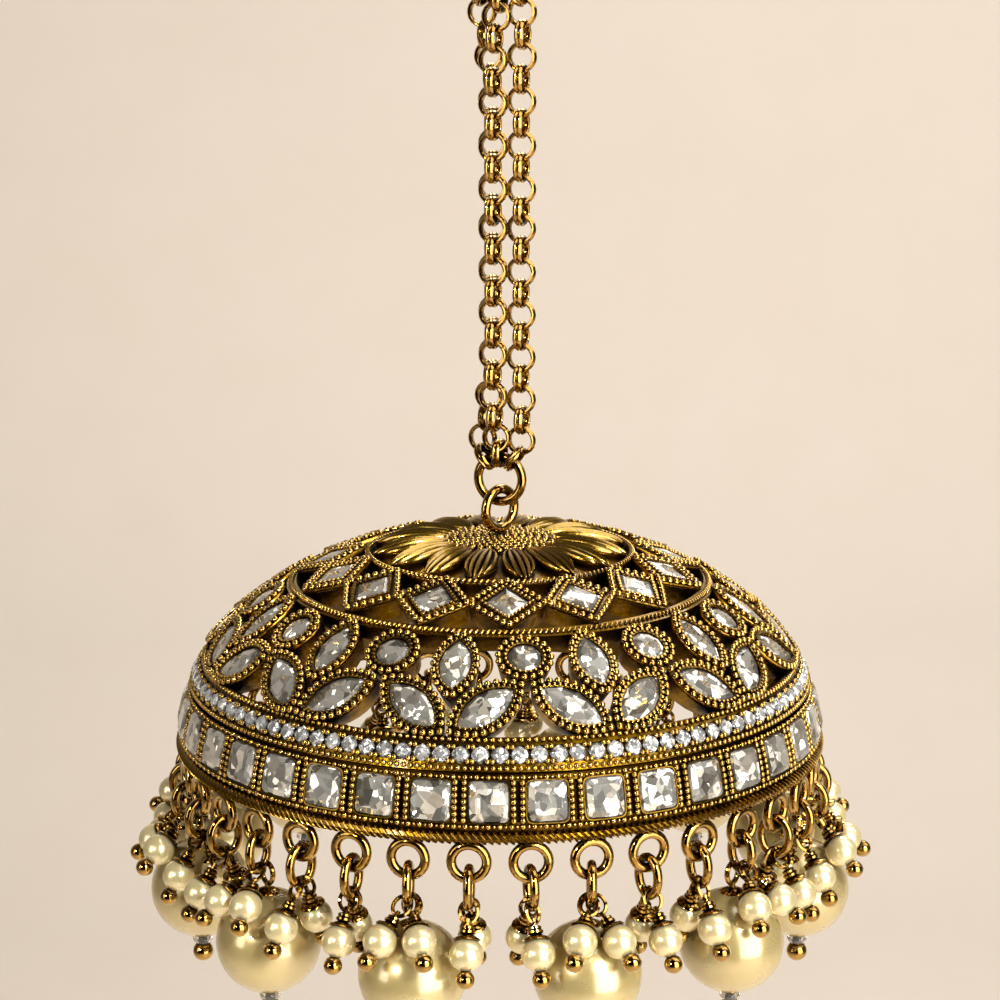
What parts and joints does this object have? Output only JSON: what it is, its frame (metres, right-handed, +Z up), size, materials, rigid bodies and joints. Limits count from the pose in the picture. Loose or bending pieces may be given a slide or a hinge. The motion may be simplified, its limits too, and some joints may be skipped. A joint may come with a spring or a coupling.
{
  "type": "bridal kalira",
  "caption": "Domed bridal bangle pendant: pierced stone-set bell hung on chain strands, with a fringe of pearl drops on small wire links.",
  "frame": {"origin": "inside the top ring, at the point of its wire's inner side where the ring bears on what it hangs from", "axes": "+Z up along the chain, +X to the right of the front, -Y towards the front"},
  "size_m": [0.0705, 0.0706, 0.0954],
  "materials": {
    "antique_gold": "antique gold plate, dark in the recesses",
    "bright_gold": "bright gold plate, polished",
    "pearl": "ivory resin pearl with a soft lustre",
    "clear_stone": "foil-backed clear cut glass"
  },
  "bodies": {
    "hanger": {"top_ring": "bright_gold", "chain_left_upper": "bright_gold", "chain_left_lower": "bright_gold", "chain_right_upper": "bright_gold", "chain_right_lower": "bright_gold", "chain_back_upper": "bright_gold", "chain_back_lower": "bright_gold", "connector_ring": "bright_gold"},
    "pendant": {"bell": "antique_gold", "drop_01": "pearl", "drop_02": "pearl", "drop_03": "pearl", "drop_04": "pearl", "drop_05": "pearl", "drop_06": "pearl", "drop_07": "pearl", "drop_08": "pearl", "drop_09": "pearl", "drop_10": "pearl", "drop_11": "pearl", "drop_12": "pearl", "drop_13": "pearl", "drop_14": "pearl", "drop_15": "pearl", "drop_16": "pearl", "drop_17": "pearl", "drop_18": "pearl", "drop_19": "pearl", "drop_20": "pearl", "drop_21": "pearl", "drop_22": "pearl", "drop_23": "pearl", "drop_24": "pearl", "drop_25": "pearl", "drop_26": "pearl", "drop_27": "pearl", "drop_28": "pearl", "drop_29": "pearl", "drop_30": "pearl", "drop_31": "pearl", "drop_32": "pearl", "drop_33": "pearl", "drop_34": "pearl", "drop_35": "pearl", "drop_36": "pearl", "pearl_01": "pearl", "pearl_02": "pearl", "pearl_03": "pearl", "pearl_04": "pearl", "pearl_05": "pearl", "pearl_06": "pearl", "pearl_07": "pearl", "pearl_08": "pearl", "pearl_09": "pearl", "pearl_10": "pearl", "pearl_11": "pearl", "pearl_12": "pearl"}
  },
  "joints": [
    {"name": "pendant_swing", "type": "hinge", "parent": "hanger", "child": "pendant", "pos_m": [0, 0, -0.05115], "axis": [0.9336, -0.3584, 0], "range_deg": [-45, 45]}
  ]
}
